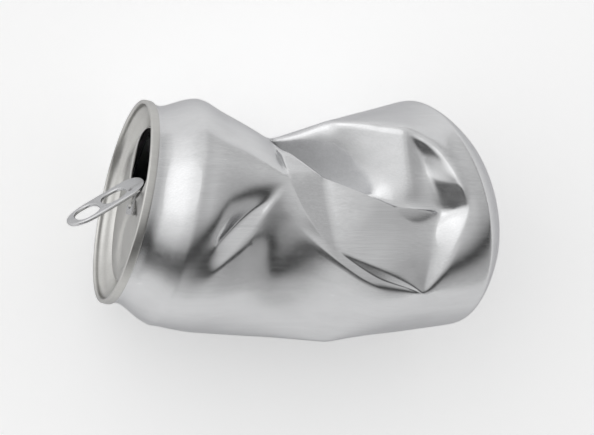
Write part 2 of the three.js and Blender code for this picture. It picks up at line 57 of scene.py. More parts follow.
# Corners of the folds in the crushed wall, in mm, in the frame of the bent can.
# B, H and W, P are rings of the two round ends; V is the fold across the hidden side.
FOLDS = {
    "B7": (-23.7, -9, 23.5), "B8": (-24.5, -17.4, 23), "F0": (-15.3, 26.8, -4.5),
    "F1": (-13.5, 26.3, 3), "F2": (-12.3, 23, 10.5), "F3": (-10.5, 18, 16), "F4": (-10.5, 13, 19),
    "F5": (-11.5, 8, 19), "N": (-8, 22.6, -3), "N2": (-6.9, 21, 3), "A1": (-1.8, 10.9, 16),
    "A2": (-5.3, 5.9, 16.8), "V1": (-12, 3, 16.2), "V2": (-18.2, -3.2, 20.3), "G1": (-10, -0.2, 16.5),
    "G2": (-13.8, -7, 20.5), "G3": (-18.2, -10.9, 22.5), "J": (-6, -3.5, 14), "E1": (-1.8, -0.5, 14.8),
    "E2": (1.7, -4.3, 14.4), "E3": (11, -11.9, 14.2), "E4": (17.3, -16.9, 11.6), "E5": (24.4, -21, 8.6),
    "C1": (0.9, 3.6, 16), "C2": (6, -4, 14.8), "L1": (4.6, 0.8, 14.4), "A3": (11, -9.3, 12.8),
    "R0": (-5.4, 20.8, 6), "R1": (0.9, 16.7, 9), "R2": (6.9, 12, 10.6), "R3": (14.5, 8.8, 11),
    "R4": (22.7, 5.3, 10), "R5": (27.7, 3.2, 8.8), "R6": (33.7, 2.7, 7), "A6": (41.3, 1.2, 0.8),
    "T1": (2.3, 11.8, 13), "U": (17.8, -1.3, 11.8), "Q0": (-6, 20.2, -5), "Q1": (0.4, 14.6, -6),
    "Q2": (6.4, 9.6, -6), "Q3": (14, 6.4, -3), "Q4": (22.2, 3.4, 1.4), "Q5": (27.6, 1.4, 2.8),
    "Q6": (33.6, 1.4, 2.4), "S1": (1.2, 25.6, -1.8), "S2": (11.8, 29.1, -6), "S3": (20, 31.2, -7),
    "K3": (8, 27, 0.2), "K2": (16, 27.2, 2.2), "K1": (24, 26.6, 3.9), "A5": (30.8, 25.7, 5),
    "m1": (2, 20.8, -3), "m2": (8.6, 20.2, -1.4), "m3": (15.6, 19.6, 0.9), "m4": (23.2, 17.4, 3),
    "D2": (31.7, 15.5, 4.8), "D3": (32.4, 8.4, 4.6), "O2": (35.8, 17, 1.8), "A7": (37.1, 11, 2.5),
    "O4": (43.1, 9.6, 5), "O5": (44.5, 1.9, 2.6), "b1": (40.4, 20.5, 5.4), "b2": (44.5, 13.7, 6.6),
    "b3": (47.2, 9.1, 6.8), "b4": (49, 3.3, 5.1), "b5": (47, -5, 4.7), "b6": (43.1, -14.6, 5.4),
    "A4": (36.4, -22.1, 4.8), "l1": (30.5, -1, 7.8), "l2": (36, -2.6, 4.6), "q1": (39.9, -3.2, 4),
    "q2": (39.1, -8.7, 4.7), "q3": (36.6, -17.5, 5.2), "t1": (30.4, -8.1, 8.6), "t2": (34.2, -17, 6.3),
    "w2": (22, -13.6, 11.6), "w3": (28.2, -16.6, 9.3), "w4": (33.5, -19.7, 6.8),
    "X2": (20.5, -16.2, 10), "X3": (25.5, -18.3, 8.1), "X4": (31, -19.9, 6.4), "Y0": (-18, -21, 17.5),
    "Y1": (-8, -20, 9), "Y2": (2, -22, 3.5), "Y3": (13, -24.5, 4), "Y4": (22, -26.5, 3.5),
    "Y5": (36, -26, -1), "Z0": (-22, -29.5, 8), "Z1": (-8, -31, -2.5), "Z2": (4, -32.5, -9),
    "Z3": (14, -32, -6), "Z4": (24, -31, -4.5), "Z5": (36, -29.5, -9), "M0": (-25.5, -34.2, -7.7),
    "M1": (-12.2, -34.5, -12), "M2": (18, -34.9, -17), "M3": (29.8, -32.4, -17.5),
    "V12": (8.9, -36.3, -16), "V13": (5, -35, -25), "V14": (0, -30, -36), "V15": (-4, -21, -45),
    "V16": (-6, -14, -37), "V17": (-6, -7, -28), "V18": (-6, 0, -25), "V19": (-6, 7, -28),
    "V20": (-6, 12, -36), "V21": (-6, 17.5, -44.5), "V22": (-7, 21.5, -34), "V23": (-8, 22, -17),
}

FACETS = """
    B0 B1 F1 F0 | B1 B2 F2 F1 | B2 B3 F3 F2 | B3 B4 F4 F3 | B4 B5 F5 F4 | B5 B6 V2 V1 F5 | B6 B7 V2
    F0 F1 N2 N | F1 F2 N2 | F2 F3 A1 N2 | F3 F4 A1 | F4 F5 A1 | F5 V1 A2 A1
    V1 G1 A2 | V1 V2 G2 G1 | V2 B7 G3 G2 | B7 B8 G3
    B8 B9 Y0 G3 | G3 Y0 Y1 G2 | G1 G2 J | G2 Y1 J | J Y1 E2 E1 | A2 G1 J E1
    A1 A2 E1 C1 | C1 E1 E2 C2 | C2 E2 E3 A3 | A1 C1 L1 | C1 C2 L1 | C2 A3 L1
    Y1 Y2 E3 E2 | Y2 Y3 E4 E3 | Y3 Y4 E5 E4 | E5 Y4 Y5 A4
    A3 E3 E4 X2 | X2 E4 E5 X3 | X3 E5 A4 X4
    A3 X2 w2 | w2 X2 X3 w3 | w3 X3 X4 w4 | w4 X4 A4
    A3 w2 t1 R5 U | w2 w3 t1 | w3 w4 t2 t1 | w4 A4 t2 | t1 t2 q3 q2 | t2 A4 q3
    R5 t1 q2 l2 l1 | l2 q2 q1 A6 | R5 l1 R6 | l1 l2 R6 | R6 l2 A6
    A6 q1 b5 b4 O5 | q1 q2 b6 b5 | q2 q3 A4 b6
    N2 A1 R0 | R0 A1 T1 R1 | R1 T1 R2 | A1 L1 A3 R2 T1 | R2 A3 U R3 | R3 U R4 | R4 U R5
    N N2 R0 Q0 | Q0 R0 R1 Q1 | Q1 R1 R2 Q2 | Q2 R2 R3 Q3 | Q3 R3 R4 Q4 | Q4 R4 R5 Q5 | Q5 R5 R6 Q6
    Q6 R6 A6
    N Q0 Q1 m1 | N m1 S1 | m1 Q1 Q2 m2 | S1 m1 m2 K3 | m2 Q2 Q3 m3 | K3 m2 m3 K2
    m3 Q3 Q4 m4 | K2 m3 m4 K1 | m4 Q4 Q5 D3 D2 | K1 m4 D2 A5 | Q5 Q6 D3
    A5 D2 O2 | D2 D3 A7 O2 | D3 Q6 A6 A7
    A5 O2 b1 | b1 O2 b2 | O2 A7 O4 b2 | O4 b3 b2 | A7 A6 O5 O4 | O4 O5 b4 b3
    S1 K3 S2 | S2 K3 K2 | S2 K2 K1 S3 | S3 K1 W1 W0 | K1 A5 W2 W1 | A5 b1 W3 W2 | b1 b2 W4 W3
    b2 b3 W5 W4 | b3 b4 W6 W5 | b4 b5 W7 W6 | b5 b6 W8 W7 | b6 A4 W9 W8 | A4 Y5 W10 W9
    Y5 Z5 W11 W10 | Z5 M3 W12 W11
    B9 B10 Z0 Y0 | Y0 Z0 Z1 Y1 | Y1 Z1 Z2 Y2 | Y2 Z2 Z3 Y3 | Y3 Z3 Z4 Y4 | Y4 Z4 Z5 Y5
    B10 B11 M0 Z0 | B11 B12 M0 | Z0 M0 M1 Z1 | Z1 M1 V12 Z2 | Z2 V12 Z3 | Z3 V12 M2 Z4 | Z4 M2 M3 Z5
    B12 B13 H13 M0 | M0 H13 V13 V12 M1 | V12 V13 P13 M3 M2 | M3 P13 W13 W12
    B23 B0 F0 H23 | H23 F0 N V23 | V23 N S1 S2 P23 | P23 S2 S3 W0 W23
"""

CREASES = (
    (3, "R0 R1 R2 R3 R4 R5 R6 A6"),
    (3, "A2 E1 E2 E3 E4 E5"),
    (3, "A1 L1 A3"),
    (2.4, "A1 C1 C2 A3"),
    (2.2, "A1 A2 V1 V2 B7"),
    (2, "A2 G1 G2 G3 B8"),
    (0.7, "A5 b1 b2 b3"),
    (2.8, "b3 b4 b5 b6 A4"),
    (1.6, "A3 w2 w3 w4 A4"),
    (3.2, "A3 X2 X3 X4 A4"),
    (1.4, "A5 K1 K2 K3 S2"),
    (1.2, "A5 D2 D3 Q6"),
    (1.4, "A5 O2 A7"),
    (2.2, "A7 O4 b3"),
    (1.2, "A6 O5 b4"),
    (1.3, "A3 U R5"),
    (1.2, "A6 q1 q2 q3 A4"),
    (1.2, "R5 l1 l2 A6"),
    (3, "N N2 A1"),
    (2, "R0 A1"),
    (2.6, "R2 A3"),
    (1.5, "A1 T1 R2"),
    (1.6, "Q0 Q1 Q2 Q3 Q4"),
    (2, "V12 V13 V14 V15 V16 V17 V18 V19 V20 V21 V22 V23 N"),
    (1.4, "Z2 V12 Z3"),
    (1.2, "t1 t2 A4"),
    (1.2, "N Q0"),
)


class Change(Enum):
    """What a tool does to the solid that it meets."""

    CUT = "DIFFERENCE"
    JOIN = "UNION"


class Wire:
    """A shader socket that takes part in Python arithmetic."""

    def __init__(self, bench: "Bench", socket: bpy.types.NodeSocket) -> None:
        """Keeps the socket and the bench that its maths nodes go on."""
        self.bench = bench
        self.socket = socket

    def _maths(self, operation: str, left: object, right: object) -> "Wire":
        """Adds one Math node.

        Args:
            operation: the Math node's operation.
            left: a Wire or a number.
            right: a Wire or a number.

        Returns:
            The node's result.
        """
        return self.bench.add("ShaderNodeMath", {"operation": operation}, {0: left, 1: right})

    def __add__(self, other: object) -> "Wire":
        """Sum of two values."""
        return self._maths("ADD", self, other)

    def __radd__(self, other: object) -> "Wire":
        """Sum with a number on the left."""
        return self._maths("ADD", other, self)

    def __sub__(self, other: object) -> "Wire":
        """Difference of two values."""
        return self._maths("SUBTRACT", self, other)

    def __rsub__(self, other: object) -> "Wire":
        """Difference with a number on the left."""
        return self._maths("SUBTRACT", other, self)

    def __mul__(self, other: object) -> "Wire":
        """Product of two values."""
        return self._maths("MULTIPLY", self, other)

    def __rmul__(self, other: object) -> "Wire":
        """Product with a number on the left."""
        return self._maths("MULTIPLY", other, self)


class Bench:
    """A node tree under work, and the one way of adding nodes to it."""

    def __init__(self, tree: bpy.types.NodeTree) -> None:
        """Empties the tree."""
        self.tree = tree
        tree.nodes.clear()

    def add(self, kind: str, settings: dict | None = None, inputs: dict | None = None,
            output: int | str = 0) -> Wire:
        """Adds a node.

        Args:
            kind: the node's type.
            settings: its own settings, set first; "stops" fills a colour ramp.
            inputs: values or Wires by socket name or number.
            output: which output to hand back.

        Returns:
            The chosen output.
        """
        node = self.tree.nodes.new(kind)
        for name, value in (settings or {}).items():
            if name == "stops":
                self._fill_ramp(node.color_ramp, value)
            else:
                setattr(node, name, value)
        for name, value in (inputs or {}).items():
            if isinstance(value, Wire):
                self.tree.links.new(value.socket, node.inputs[name])
            else:
                node.inputs[name].default_value = value
        return Wire(self, node.outputs[output]) if node.outputs else Wire(self, None)

    def parts(self, vector: Wire) -> tuple[Wire, Wire, Wire]:
        """Splits a vector into its three values."""
        node = self.add("ShaderNodeSeparateXYZ", inputs={0: vector}).socket.node
        return tuple(Wire(self, socket) for socket in node.outputs)

    @staticmethod
    def _fill_ramp(ramp: bpy.types.ColorRamp, stops: list[tuple[float, tuple]]) -> None:
        """Sets a ramp's stops, given in rising order as (place, rgb)."""
        while len(ramp.elements) < len(stops):
            ramp.elements.new(0.5)
        for element, (place, colour) in zip(ramp.elements, stops):
            element.position = place
            element.color = (*colour, 1.0)


def grey(value: float) -> tuple[float, float, float]:
    """A neutral colour."""
    return (value, value, value)


def dress(piece: bpy.types.Object, material: bpy.types.Material) -> None:
    """Gives a piece one material."""
    piece.data.materials.clear()
    piece.data.materials.append(material)


@dataclass(frozen=True)
class BareAluminium:
    """Bare sheet aluminium with the grain that rolling or ironing leaves along local Z.

    Attributes:
        name: the material's name.
        colour: the metal's own colour.
        roughness: the middle value over the sheet.
        across: how much the grain spreads a highlight across itself, as anisotropy.
        grain: streaks to the millimetre, across the grain.
        relief: depth of the grain in the bump, in mm.
        scuffs: share of the sheet that carries short bright scratches.
    """

    name: str
    colour: tuple[float, float, float]
    roughness: float
    across: float
    grain: float
    relief: float
    scuffs: float

    def make(self) -> bpy.types.Material:
        """Builds the material.

        Returns:
            The material.
        """
        material = bpy.data.materials.new(self.name)
        material.use_nodes = True
        bench = Bench(material.node_tree)
        place = bench.add("ShaderNodeTexCoord", output="Object")
        streaks = self._streaks(bench, place, self.grain * 1000, 25.0, 3.0)
        broad = self._streaks(bench, place, self.grain * 120, 8.0, 2.0)
        clouds = bench.add("ShaderNodeTexNoise", inputs={"Vector": place, "Scale": 55.0, "Detail": 3.0})
        specks = bench.add("ShaderNodeTexNoise", inputs={"Vector": place, "Scale": 900.0, "Detail": 2.0})
        scratches = self._scratches(bench, place)
        tint = bench.add("ShaderNodeMix", {"data_type": "RGBA"}, {
            "Factor": clouds * 0.35 + streaks * 0.4 + broad * 0.25,
            "A": (*[c * 0.72 for c in self.colour], 1.0),
            "B": (*[min(1.0, c * 1.24) for c in self.colour], 1.0),
        }, output=2)
        worn = bench.add("ShaderNodeMix", {"data_type": "RGBA"}, {
            "Factor": scratches * 0.35,
            "A": tint,
            "B": (0.93, 0.93, 0.94, 1.0),
        }, output=2)
        rough = (self.roughness - 0.13) + streaks * 0.12 + broad * 0.09 + clouds * 0.05 - scratches * 0.1
        height = streaks * 0.55 + broad * 0.3 + specks * 0.15 - scratches * 0.8
        relief = bench.add("ShaderNodeBump", inputs={
            "Strength": 0.5, "Distance": self.relief * MM, "Height": height,
        })
        shader = bench.add("ShaderNodeBsdfPrincipled", inputs={
            "Base Color": worn, "Metallic": 1.0, "Roughness": rough, "Normal": relief,
            "Anisotropic": self.across, "Specular Tint": (0.6, 0.6, 0.61, 1.0),
        })
        bench.add("ShaderNodeOutputMaterial", inputs={"Surface": shader})
        return material

    @staticmethod
    def _streaks(bench: Bench, place: Wire, fine: float, along: float, detail: float) -> Wire:
        """Noise drawn out along local Z.

        Args:
            bench: the bench to work on.
            place: object coordinates in metres.
            fine: noise cells to the metre across the grain.
            along: noise cells to the metre along it.
            detail: octaves.

        Returns:
            A value round one half.
        """
        drawn = bench.add("ShaderNodeMapping", inputs={"Vector": place, "Scale": (fine, fine, along)})
        return bench.add("ShaderNodeTexNoise", inputs={"Vector": drawn, "Scale": 1.0, "Detail": detail})

    def _scratches(self, bench: Bench, place: Wire) -> Wire:
        """Sparse short scratches across the grain, as a mask."""
        turned = bench.add("ShaderNodeMapping", inputs={
            "Vector": place, "Rotation": (0.7, 0.35, 0.5), "Scale": (60.0, 1400.0, 300.0),
        })
        lines = bench.add("ShaderNodeTexNoise", inputs={"Vector": turned, "Scale": 1.0, "Detail": 1.0})
        return bench.add("ShaderNodeMapRange", inputs={
            "Value": lines, "From Min": 0.78 - self.scuffs, "From Max": 0.84 - self.scuffs,
        })


@dataclass(frozen=True)
class PaleBoard:
    """The plain pale surface that the can lies on."""

    brightness: float = 0.92
    roughness: float = 0.7
    glow: float = 0.3

    def make(self) -> bpy.types.Material:
        """Builds the material.

        Returns:
            The material.
        """
        material = bpy.data.materials.new("pale_board")
        material.use_nodes = True
        bench = Bench(material.node_tree)
        place = bench.add("ShaderNodeTexCoord", output="Object")
        fibre = bench.add("ShaderNodeTexNoise", inputs={"Vector": place, "Scale": 400.0, "Detail": 3.0})
        colour = bench.add("ShaderNodeMix", {"data_type": "RGBA"}, {
            "Factor": fibre,
            "A": (*grey(self.brightness), 1.0),
            "B": (*grey(self.brightness + 0.02), 1.0),
        }, output=2)
        shader = bench.add("ShaderNodeBsdfPrincipled", inputs={
            "Base Color": colour, "Roughness": self.roughness, "Specular IOR Level": 0.2,
            "Emission Color": (1.0, 1.0, 1.0, 1.0), "Emission Strength": self.glow,
        })
        bench.add("ShaderNodeOutputMaterial", inputs={"Surface": shader})
        return material


@dataclass(frozen=True)
class RoundEnd:
    """The axis of one of the can's two ends, which keep their round section.

    Attributes:
        centre: middle of the end's outer plane, in mm.
        along: direction into the can.
        top: roughly the direction of the notched side.
        flip: the near side lies against the right-handed sense.
    """

    centre: Vector
    along: Vector
    top: Vector
    flip: bool = False

    def axes(self) -> tuple[Vector, Vector, Vector]:
        """Unit vectors into the can, to the notched side and to the kicked side."""
        along = self.along.normalized()
        top = (self.top - along * self.top.dot(along)).normalized()
        near = along.cross(top)
        return along, top, (-near if self.flip else near)

    def ring_point(self, depth: float, radius: float, turn: float) -> Vector:
        """A point of a round section.

        Args:
            depth: distance into the can.
            radius: radius of the section.
            turn: angle from the notched side to the kicked side, in radians.

        Returns:
            The point, in mm, in the frame of the bent can.
        """
        along, top, near = self.axes()
        return self.centre + along * depth + (top * math.cos(turn) + near * math.sin(turn)) * radius


OPEN_END = RoundEnd(Vector((-50.1, 4.7, 0)), Vector((0.951, -0.201, -0.233)), Vector((0.207, 0.978, 0)))
BASE_END = RoundEnd(Vector((45.2, 3.2, -29.5)), Vector((-0.844, -0.195, 0.5)), Vector((-0.225, 0.974, 0)),
                    flip=True)


@dataclass(frozen=True)
class Rest:
    """How the bent can lies in the row frame.

    Attributes:
        turn: rotation from the frame of the bent can to the row frame.
        shift: where that frame's origin comes to, in mm.
    """

    turn: Matrix
    shift: Vector

    @classmethod
    def from_frame(cls, pitch: float, end: list[Vector]) -> "Rest":
        """Works the shift out from where the solid model holds the can's end.

        That end's box also holds the torn piece, which hangs inward and which the outline leaves
        out. The shift therefore comes out about 7 mm too far along +X.

        Args:
            pitch: degrees about Y.
            end: outline points of the end, in mm, in the frame of the bent can.

        Returns:
            The rest pose.
        """
        turn = Matrix.Rotation(math.radians(-pitch), 3, "Y")
        low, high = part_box("can_end")
        turned = [turn @ point for point in end]
        shift = Vector([
            (low[i] + high[i]) / 2 / MM - (min(p[i] for p in turned) + max(p[i] for p in turned)) / 2
            for i in range(3)
        ])
        return cls(turn, shift)

    def point(self, place: Vector) -> Vector:
        """A point of the bent can, in metres in the row frame."""
        return (self.turn @ place + self.shift) * MM

    def matrix(self, origin: Vector, x: Vector, y: Vector, z: Vector) -> Matrix:
        """A piece's world matrix, for a mesh in metres, from its axes in the frame of the bent can."""
        columns = [self.turn @ axis for axis in (x, y, z)]
        matrix = Matrix.Identity(4)
        for i, column in enumerate(columns):
            for j in range(3):
                matrix[j][i] = column[j]
        matrix.translation = self.point(origin)
        return matrix


def link_mesh(name: str, mesh: bpy.types.Mesh, matrix: Matrix) -> bpy.types.Object:
    """Puts a mesh in the scene as a named piece."""
    piece = bpy.data.objects.new(name, mesh)
    bpy.context.scene.collection.objects.link(piece)
    piece.matrix_world = matrix
    bpy.context.view_layer.update()
    return piece


def settle(piece: bpy.types.Object) -> None:
    """Applies a piece's modifiers to its mesh."""
    graph = bpy.context.evaluated_depsgraph_get()
    mesh = bpy.data.meshes.new_from_object(piece.evaluated_get(graph))
    piece.modifiers.clear()
    old = piece.data
    piece.data = mesh
    bpy.data.meshes.remove(old)


def smooth_by_angle(mesh: bpy.types.Mesh, degrees: float) -> None:
    """Shades a mesh smooth, apart from edges sharper than the angle."""
    for polygon in mesh.polygons:
        polygon.use_smooth = True
    work = bmesh.new()
    work.from_mesh(mesh)
    for edge in work.edges:
        if len(edge.link_faces) == 2 and edge.calc_face_angle(0.0) > math.radians(degrees):
            edge.smooth = False
    work.to_mesh(mesh)
    work.free()


def weigh_normals(piece: bpy.types.Object) -> None:
    """Lets the broad flat faces keep their own direction in the smooth shading."""
    weigh = piece.modifiers.new("broad faces", "WEIGHTED_NORMAL")
    weigh.keep_sharp = True
    settle(piece)


def to_mesh(work: bmesh.types.BMesh, name: str) -> bpy.types.Mesh:
    """Turns its faces outward and hands over what was built."""
    bmesh.ops.recalc_face_normals(work, faces=work.faces)
    mesh = bpy.data.meshes.new(name)
    work.to_mesh(mesh)
    work.free()
    return mesh


def reshape(piece: bpy.types.Object, tool: bpy.types.Object, change: Change) -> None:
    """Cuts a tool out of the piece or joins it on, and throws the tool away."""
    shape = piece.modifiers.new("shape", "BOOLEAN")
    shape.operation = change.value
    shape.solver = "EXACT"
    shape.object = tool
    settle(piece)
    bpy.data.objects.remove(tool)


def oval(across: float, along: float, steps: int = 96, centre: float = 0.0) -> list[Vector]:
    """A squarish oval, in mm, its middle moved along X."""
    points = []
    for i in range(steps):
        turn = 2 * math.pi * i / steps
        c, s = math.cos(turn), math.sin(turn)
        points.append(Vector((centre + across * math.copysign(abs(c) ** 0.8, c),
                              along * math.copysign(abs(s) ** 0.8, s), 0)))
    return points


def bridge(work: bmesh.types.BMesh, first: list, second: list) -> None:
    """Closes two like outlines into a solid."""
    work.faces.new(first)
    work.faces.new(list(reversed(second)))
    for i in range(len(first)):
        j = (i + 1) % len(first)
        work.faces.new((first[j], first[i], second[i], second[j]))


def prism(name: str, outline: list[Vector], depth: float, matrix: Matrix) -> bpy.types.Object:
    """A closed solid of an outline, down from nought by its depth."""
    work = bmesh.new()
    top = [work.verts.new(p * MM) for p in outline]
    bottom = [work.verts.new((p - Vector((0, 0, depth))) * MM) for p in outline]
    bridge(work, top, bottom)
    return link_mesh(name, to_mesh(work, name), matrix)


@dataclass
class CrushedBody:
    """The drawn and ironed body: neck, crushed wall and domed base, in one sheet.

    Attributes:
        rest: how the can lies.
        radius: of the round wall.
        stand_radius: of the ring the can once stood on; not used.
        dome_depth: how far the base is pushed in.
        columns: control columns round the body.
        levels: steps of subdivision.
        gauge: sheet thickness.
        ripple: height of the slow waves that thin sheet keeps after folding.
        shoulder_edge: sharpness of the edge between the neck's taper and the wall.
        fold_start: depth below the open end at which the folds begin, in mm.
        hidden_start: the same for the fold across the hidden side.
        hidden_stop: how far from the base that fold ends, in mm.
        pressed_radius: of the wall where it is already pressed in above the folds, in mm.
        lowered_radius: the same lower down, in mm.
    """

    rest: Rest
    radius: float = 33.1
    stand_radius: float = 24.9
    dome_depth: float = 10.8
    columns: int = 24
    levels: int = 3
    gauge: float = 0.12
    ripple: float = 0.1
    shoulder_edge: float = 1.6
    neck_rings: tuple = ((0.9, 29.15), (2.9, 29.1), (4.6, 28.8), (6.3, 29.05), (9.2, 30.6),
                         (12.2, 32.3), (15.2, 33.2), (18, 33.0))
    base_rings: tuple = ((12, 33.1), (8.6, 33.1), (5.8, 31.2), (2.4, 27.6), (0, 24.9),
                         (1.4, 23.4), (5.4, 22.2), (9.4, 12.4))
    fold_start: float = 22
    hidden_start: float = 33
    hidden_stop: float = 27
    pressed_radius: float = 31.2
    lowered_radius: float = 30
    points: list[Vector] = field(default_factory=list)
    index: dict[str, int] = field(default_factory=dict)
    faces: list[list[int]] = field(default_factory=list)

    def build(self) -> bpy.types.Object:
        """Builds the piece.

        Returns:
            The body's object.
        """
        self._control_points()
        self._cage_faces()
        piece = self._cage_object()
        subdivision = piece.modifiers.new("smooth", "SUBSURF")
        subdivision.levels = self.levels
        subdivision.render_levels = self.levels
        settle(piece)
        self._ripple(piece.data)
        skin = piece.modifiers.new("gauge", "SOLIDIFY")
        skin.thickness = self.gauge * MM
        skin.offset = -1.0
        settle(piece)
        smooth_by_angle(piece.data, 60)
        return piece

    def _ring(self, name: str, end: RoundEnd, depth: float, radius: float) -> None:
        """Adds a ring of control points, a little outside the surface that they draw."""
        swell = 3 / (2 + math.cos(2 * math.pi / self.columns))
        for column in range(self.columns):
            turn = 2 * math.pi * column / self.columns
            self._point(f"{name}{column}", end.ring_point(depth, radius * swell, turn))

    def _point(self, name: str, place: Vector) -> None:
        """Adds a control point, or moves the one of that name."""
        if name in self.index:
            self.points[self.index[name]] = place
        else:
            self.index[name] = len(self.points)
            self.points.append(place)

    def _control_points(self) -> None:
        """Places the rings of both ends, then the corners of the folds."""
        for ring, (depth, radius) in enumerate(self.neck_rings):
            self._ring(f"neck{ring}_", OPEN_END, depth, radius)
        for ring, (depth, radius) in enumerate(self.base_rings):
            self._ring(f"base{ring}_", BASE_END, depth, radius)
        self._point("dome", BASE_END.ring_point(self.dome_depth, 0, 0))
        swell = 3 / (2 + math.cos(2 * math.pi / self.columns))
        for column in range(self.columns):
            turn = 2 * math.pi * column / self.columns
            pressed = self.pressed_radius if column < 3 or column > 21 else self.radius
            self._point(f"B{column}", OPEN_END.ring_point(self.fold_start, pressed * swell, turn))
            self.index[f"W{column}"] = self.index[f"base0_{column}"]
            if column > 12:
                lowered = self.lowered_radius if column > 21 else self.radius
                self._point(f"H{column}", OPEN_END.ring_point(self.hidden_start, lowered * swell, turn))
                self._point(f"P{column}", BASE_END.ring_point(self.hidden_stop, self.radius * swell, turn))
        for name, place in FOLDS.items():
            self._point(name, Vector(place))

    def _face(self, *names: str) -> None:
        """Adds a face by the names of its corners."""
        self.faces.append([self.index[name] for name in names])

    def _cage_faces(self) -> None:
        """Joins the rings, the hidden side and the folded facets."""
        for column in range(self.columns):
            after = (column + 1) % self.columns
            for ring in range(len(self.neck_rings) - 1):
                self._face(f"neck{ring}_{column}", f"neck{ring}_{after}",
                           f"neck{ring + 1}_{after}", f"neck{ring + 1}_{column}")
            last = len(self.neck_rings) - 1
            self._face(f"neck{last}_{column}", f"neck{last}_{after}", f"B{after}", f"B{column}")
            for ring in range(1, len(self.base_rings)):
                self._face(f"base{ring - 1}_{column}", f"base{ring - 1}_{after}",
                           f"base{ring}_{after}", f"base{ring}_{column}")
            last = len(self.base_rings) - 1
            self._face(f"base{last}_{column}", f"base{last}_{after}", "dome")
            if 12 < column < 23:
                for left, right in ("BH", "HV", "VP", "PW"):
                    self._face(f"{left}{column}", f"{left}{after}", f"{right}{after}", f"{right}{column}")
        for facet in FACETS.replace("\n", "|").split("|"):
            if facet.strip():
                self._face(*facet.split())

    @staticmethod
    def _crease(sharpness: float) -> float:
        """The edge value for a listed sharpness."""
        return math.sqrt(sharpness / FULL_CREASE)

    def _cage_object(self) -> bpy.types.Object:
        """Makes the creased cage, with local Z along the can."""
        matrix = Matrix.Rotation(math.pi / 2, 4, "Y")
        back = matrix.inverted()
        mesh = bpy.data.meshes.new("can_body_skin")
        mesh.from_pydata([back @ self.rest.point(p) for p in self.points], [], self.faces)
        mesh.validate()
        sharpness: dict[frozenset[int], float] = {}
        for sharp, line in CREASES:
            names = line.split()
            for a, b in zip(names, names[1:]):
                ends = frozenset((self.index[a], self.index[b]))
                sharpness[ends] = self._crease(min(sharp * FOLD_EDGE, SHARPEST))
        for column in range(self.columns):
            after = (column + 1) % self.columns
            for ring in ("neck6_", "base1_"):
                ends = frozenset((self.index[f"{ring}{column}"], self.index[f"{ring}{after}"]))
                sharpness[ends] = self._crease(self.shoulder_edge)
        crease = mesh.attributes.new("crease_edge", "FLOAT", "EDGE")
        for edge in mesh.edges:
            crease.data[edge.index].value = sharpness.get(frozenset(edge.vertices), 0.0)
        return link_mesh("can_body_skin", mesh, matrix)

    def _ripple(self, mesh: bpy.types.Mesh) -> None:
        """Adds the slow waves left in the thin wall, fading out at the round ends."""
        matrix = Matrix.Rotation(math.pi / 2, 4, "Y")
        start = self.rest.point(OPEN_END.ring_point(17, 0, 0))
        stop = self.rest.point(BASE_END.ring_point(11, 0, 0))
        normals = [Vector(normal.vector) for normal in mesh.vertex_normals]
        for vertex, outward in zip(mesh.vertices, normals):
            place = matrix @ vertex.co
            fade = min(1.0, max(0.0, (place.x - start.x) / 0.012), max(0.0, (stop.x - place.x) / 0.01))
            fade = max(0.0, fade)
            wave = noise.noise(place * 95) + 0.45 * noise.noise(place * 240 + Vector((3, 1, 7)))
            vertex.co = vertex.co + outward * (wave * self.ripple * MM * fade)


